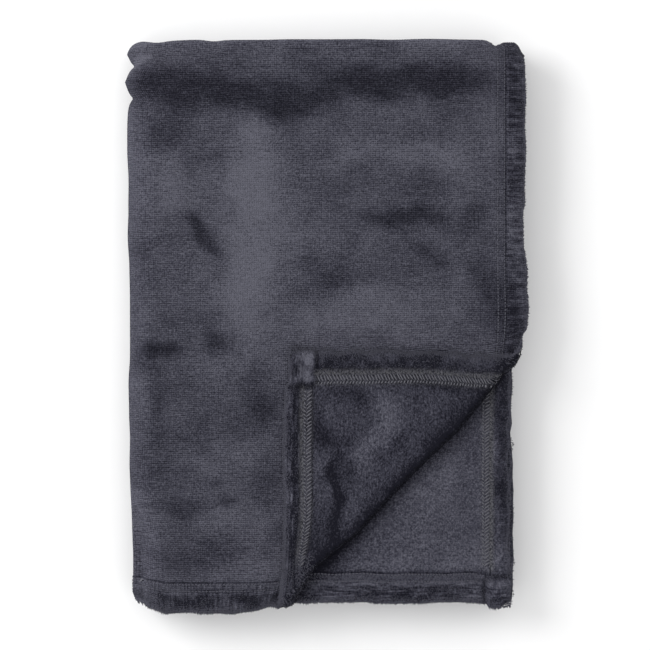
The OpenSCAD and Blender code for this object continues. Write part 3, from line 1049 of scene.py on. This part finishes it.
# Where a run of hem lies: the fold it follows, what it moves with, its room to swell, what of it is
# kept, and its stitches' strand.
ZONES = {
    "top": (top_ply, "front", top_room, on_stack, STRAND),
    "turn": (top_ply, "outer spine", top_room, None, STRAND),
    "corner": (turned_corner, "corner", corner_room, on_corner, STRAND),
    "second": (folded, "second corner", second_room, None, STRAND),
    "below": (folded, "front", second_room, None, STRAND),
    "far turn": (folded, "outer spine", second_room, None, FAR_STRAND),
    "back": (folded, "back", no_room, None, FAR_STRAND),
    "inside": (folded, "front", no_room, None, FAR_STRAND),
    "inner turn": (folded, "inner spine", no_room, None, FAR_STRAND),
}
HALF_STITCH = 1.25 * MM
THREAD_THICK = 1.1 * MM
# The braid's two strokes: where each starts and ends from its middle, and how far it leans.
LOOPER_STROKES = ((-3.9, 1.5, 1.7), (3.9, 1.7, 0.8))


def stitch_line(name, which, start, end, zone):
    """The coverstitch of one run of hem: two rows of needle stitches, and the looper's braid behind them."""
    shape, body, room, keep, unit = ZONES[zone]
    needle_face = -1 if which == "far end" else 1
    at = np.arange(start + STITCH / 2, end - STITCH / 2, STITCH)
    sets = {"needle": ([], []), "looper": ([], [])}

    def points(distance, place, face, lift):
        u, v = along_hem(which, distance, place)
        w = face * (half_thickness(u, v, face, room(u, v, face)) + lift)
        return np.stack([u, v, w], 1)

    for row in ROWS:
        a = points(row, at - HALF_STITCH, needle_face, 0.3 * MM)
        b = points(row, at + HALF_STITCH, needle_face, 0.3 * MM)
        sets["needle"][0].append(a)
        sets["needle"][1].append(b)
    middle = sum(ROWS) / 2
    sway = np.random.RandomState(len(name)).normal(0, 0.22 * MM, (4, len(at)))
    turned = -1 if which.endswith("end") else 1
    for start, end, lean in LOOPER_STROKES:
        a = points(middle + turned * start * MM + sway[0], at - lean * MM + sway[1], -needle_face, 0.05 * MM)
        b = points(middle + turned * end * MM + sway[2], at + lean * MM + sway[3], -needle_face, 0.35 * MM)
        sets["looper"][0].append(a)
        sets["looper"][1].append(b)
    for kind, (starts, ends) in sets.items():
        starts, ends = np.concatenate(starts), np.concatenate(ends)
        if keep is not None:
            on = keep(starts)
            starts, ends = starts[on], ends[on]
        whole = "%s_%s_thread" % (name, kind)
        material = NEEDLE_THREAD if kind == "needle" else LOOPER_THREAD
        laid(whole, unit, starts, ends, THREAD_THICK, shape, material, body)


SWAP = HEM + 4 * MM  # the braid stops at the blocks where the hems cross
for name, which, start, end, zone in (
    ("side_hem_first", "side", SWAP, V_TOP, "top"),
    ("side_hem_rest", "side", V_TOP, V_SECOND, "below"),
    ("second_side_hem", "side", V_SECOND, LENGTH - SWAP, "second"),
    ("far_side_hem", "far side", SWAP, LENGTH - SWAP, "inside"),
    ("end_hem_front", "end", SWAP, U[1], "top"),
    ("end_hem_spine", "end", U[1], U[2], "turn"),
    ("end_hem_back", "end", U[2], U[5], "back"),
    ("end_hem_inner_front", "end", U[6], WIDTH - SWAP, "inside"),
    ("end_hem_inner_spine", "end", U[5], U[6], "inner turn"),
    ("second_end_hem", "far end", SWAP, U[1], "second"),
    ("far_end_hem_spine", "far end", U[1], U[2], "far turn"),
    ("far_end_hem_back", "far end", U[2], U[5], "back"),
    ("far_end_hem_inner_front", "far end", U[6], WIDTH - SWAP, "inside"),
    ("corner_side_hem", "side", SWAP, 240 * MM, "corner"),
    ("corner_end_hem", "end", SWAP, 180 * MM, "corner"),
):
    stitch_line(name, which, start, end, zone)

TUFT_THICK, CREASE_TUFT_THICK = 1.0 * MM, 0.7 * MM


def pile(name, which, start, end, density, zone, seed, long, crowd=2.2, faces=(1, -1), reach=24 * MM):
    """Tufts of the plush standing off a hem: thick along its rounded edge, thinner towards the seam."""
    shape, body, room, keep = ZONES[zone][:4]
    rng = np.random.RandomState(seed)
    for face in faces:
        count = int((end - start) / MM * density)  # density is in tufts to a millimetre of hem
        place = rng.uniform(start, end, count)
        distance = reach * rng.uniform(0, 1, count) ** crowd
        u, v = along_hem(which, distance, place)
        half = half_thickness(u, v, face, room(u, v, face))
        roots = np.stack([u, v, face * half * 0.92], 1)
        outward = 1 - ramp(distance, 5)
        size = (long * rng.uniform(0.55, 1.15, count)) * MM * (0.45 + 0.55 * outward)
        rise = size * (0.25 + 0.5 * (1 - outward))
        out_u, out_v = along_hem(which, -size * (0.35 + 0.5 * outward), np.zeros(count))
        zero_u, zero_v = along_hem(which, 0.0, np.zeros(count))
        lean = np.stack([out_u - zero_u, out_v - zero_v, face * rise], 1)
        lean[:, :2] += rng.normal(0, 0.45 * MM, (count, 2))
        tips = roots + lean
        if keep is not None:
            on = keep(roots)
            roots, tips = roots[on], tips[on]
        whole = "%s_pile_%s" % (name, "upper" if face > 0 else "under")
        laid(whole, HAIR, roots, tips, TUFT_THICK, shape, PILE, body)


def crease_pile(name, first, last, density, shape, body, seed):
    """Tufts on the outside of the crease's roll, near-black: painted shadow along the fold's edge."""
    rng = np.random.RandomState(seed)
    count = int(320 * density)
    t = rng.uniform(-8 * MM, 316 * MM, count)
    s = rng.uniform(last, first, count)
    x = HINGE[0] + t * CREASE_ALONG[0] + s * CREASE_IN[0]
    y = HINGE[1] + t * CREASE_ALONG[1] + s * CREASE_IN[1]
    u, v = SIDE_X - x, y - END_Y
    inside = (u > 1 * MM) & (v > 1 * MM)
    u, v = u[inside], v[inside]
    half = half_thickness(u, v, -1, corner_room(u, v, -1))
    roots = np.stack([u, v, -half * 0.95], 1)
    size = 1.5 * MM * rng.uniform(0.5, 1.2, len(u))
    lean = np.stack([rng.normal(0, 0.5, len(u)), rng.normal(0, 0.5, len(u)), np.full(len(u), -0.75)], 1)
    tips = roots + lean * size[:, None]
    laid(name, HAIR, roots, tips, CREASE_TUFT_THICK, shape, CREASE_SHADOW_PILE, body)


pile("side_hem_first", "side", 0, V_TOP, 12, "top", 1, 0.8)
pile("side_hem_rest", "side", V_TOP, V_SECOND, 3, "below", 3, 0.8)
pile("second_side_hem", "side", V_SECOND, LENGTH, 8, "second", 12, 0.9)
pile("end_hem_front", "end", 0, U[1], 22, "top", 2, 2.0, crowd=3.2)
pile("end_hem_spine", "end", U[1], U[2], 26, "turn", 9, 3.4, crowd=1.8)
pile("second_end_hem", "far end", 0, U[1], 34, "second", 4, 1.4, crowd=1.2)
pile("corner_side_hem", "side", 0, 240 * MM, 16, "corner", 5, 2.2)
pile("corner_end_hem", "end", 0, 260 * MM, 16, "corner", 6, 2.4)
pile("corner_curl", "end", 170 * MM, 260 * MM, 34, "corner", 11, 2.6, crowd=1.0, faces=(-1,), reach=34 * MM)
crease_pile("crease_pile_under", -ROLL * 0.2, -ROLL / 2, 6, top_ply, "front", 7)
crease_pile("crease_pile_over", -ROLL / 2, -ROLL * 0.85, 6, turned_corner, "corner", 8)

# ---- stage, light and camera
FLOOR_SIZE = 8
bpy.ops.mesh.primitive_plane_add(size=FLOOR_SIZE, location=(0, 0, 0))
floor = bpy.context.object
floor.name = "studio_floor"
floor.data.materials.append(floor_finish())

WORLD_LIGHT = 0.92
world = bpy.data.worlds.new("studio")
SCENE.world = world
world.use_nodes = True
background = world.node_tree.nodes["Background"]
background.inputs["Color"].default_value = (1, 1, 1, 1)
background.inputs["Strength"].default_value = WORLD_LIGHT


def lamp(name, place, target, size, power):
    data = bpy.data.lights.new(name, "AREA")
    data.size, data.energy = size, power
    light = in_scene(name, data)
    light.location = place
    light.rotation_euler = (Vector(target) - Vector(place)).to_track_quat("-Z", "Y").to_euler()
    return light


KEY_PLACE, KEY_SIZE, KEY_POWER = (-1.6, 0.75, 1.6), 1.2, 28
lamp("key_light", KEY_PLACE, (0, 0, 0), KEY_SIZE, KEY_POWER)

camera_data = bpy.data.cameras.new("camera")
camera = in_scene("camera", camera_data)
SCENE.camera = camera
CAMERA_HEIGHT = 2.4
VIEW_WIDTH = 0.576  # seen at the stack's top
camera.location = (-0.001, 0, CAMERA_HEIGHT)
camera_data.lens = camera_data.sensor_width * (CAMERA_HEIGHT - STACK_TOP) / VIEW_WIDTH
SCENE.view_settings.view_transform = "Standard"

# ---- bodies, and the CAD parts that the pieces stand for
for name, (piece, where, width, length) in SHEETS.items():
    BODIES[name] = (piece, where)
BODIES[corner.name] = (corner, "corner")
# The outer plies turn over the whole height between the packs, the inner ones at the leaves' parting.
TURNS = {
    "outer spine": (PACK_Z[4] + PACK / 2 + 0.2 * MM, PACK_Z[1] - PACK / 2 - 2.8 * MM),
    "inner spine": (SPINE_Z - 0.1 * MM, SPINE_Z + 0.1 * MM),
}
RIDES = {"front": "front_leaf", "second corner": "front_leaf", "back": "back_leaf", "corner": "turned_corner"}
for piece, where in BODIES.values():
    if where in TURNS:
        start, end = TURNS[where]
        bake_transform(piece)
    else:
        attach(piece, RIDES[where])

# Where the corner lies down again on the two plies' thick hems, these pieces get meshes of their own.
PRESSED = {
    "corner": (CORNER_MID - PLY / 2, 0.4),
    "second corner": (low("ply_02").z + 0.1 * MM, 0.45),
}
for piece, where in BODIES.values():
    if where in PRESSED:
        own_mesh(piece)

# The corner beyond the crease is a triangle.
CUT_HEIGHT = -CORNER_S - ROLL / 2
CUT_SIDE, CUT_END = CUT_HEIGHT / abs(CREASE_IN[1]), CUT_HEIGHT / abs(CREASE_IN[0])
CUT_AREA = CUT_SIDE * CUT_END / 2
TRIMS = [name for name, (piece, where) in BODIES.items() if name not in SHEETS and piece is not corner]


for name, (piece, where, width, length) in SHEETS.items():
    area = width * length - (CUT_AREA if name == "outer_front_first" else 0)


def plies(*numbers):
    return ["ply_%02d" % k for k in numbers]


STANDS_FOR = {
    "outer_front_first": plies(1) + ["top_side_hem", "top_end_hem", "top_fold_1", "crease_fold_under"],
    "outer_front_rest": plies(2, 3, 4) + ["second_side_hem", "lower_fold_1"],
    "second_corner_cloth": ["second_end_hem"],
    "outer_spine_rest": ["spine_fold_front", "spine_fold_back"],
    "outer_back_first": plies(16) + ["top_fold_4"],
    "outer_back_rest": plies(13, 14, 15) + ["lower_fold_4", "back_end_hems"],
    "inner_cloth_first": plies(8, 9) + [
        "top_fold_2", "top_fold_3", "rear_side_fold", "inner_side_hems", "inner_end_hems",
    ],
    "inner_cloth_rest": plies(5, 6, 7, 10, 11, 12) + ["lower_fold_2", "lower_fold_3"],
    "turned_corner_cloth": ["crease_fold_over", "corner_panel", "corner_side_hem", "corner_end_hem"],
    "side_hem_first_needle_thread": ["top_side_stitches"],
    "end_hem_front_needle_thread": ["top_end_stitches"],
    "side_hem_rest_looper_thread": ["second_side_stitches"],
    "second_end_hem_needle_thread": ["second_end_stitches"],
    "corner_side_hem_looper_thread": ["corner_side_stitches"],
    "corner_end_hem_looper_thread": ["corner_end_stitches"],
    "far_side_hem_needle_thread": ["inner_side_stitches"],
    "end_hem_inner_front_needle_thread": ["inner_end_stitches"],
    "end_hem_back_needle_thread": ["back_end_stitches"],
}
for name, nodes in STANDS_FOR.items():
    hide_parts(*nodes)
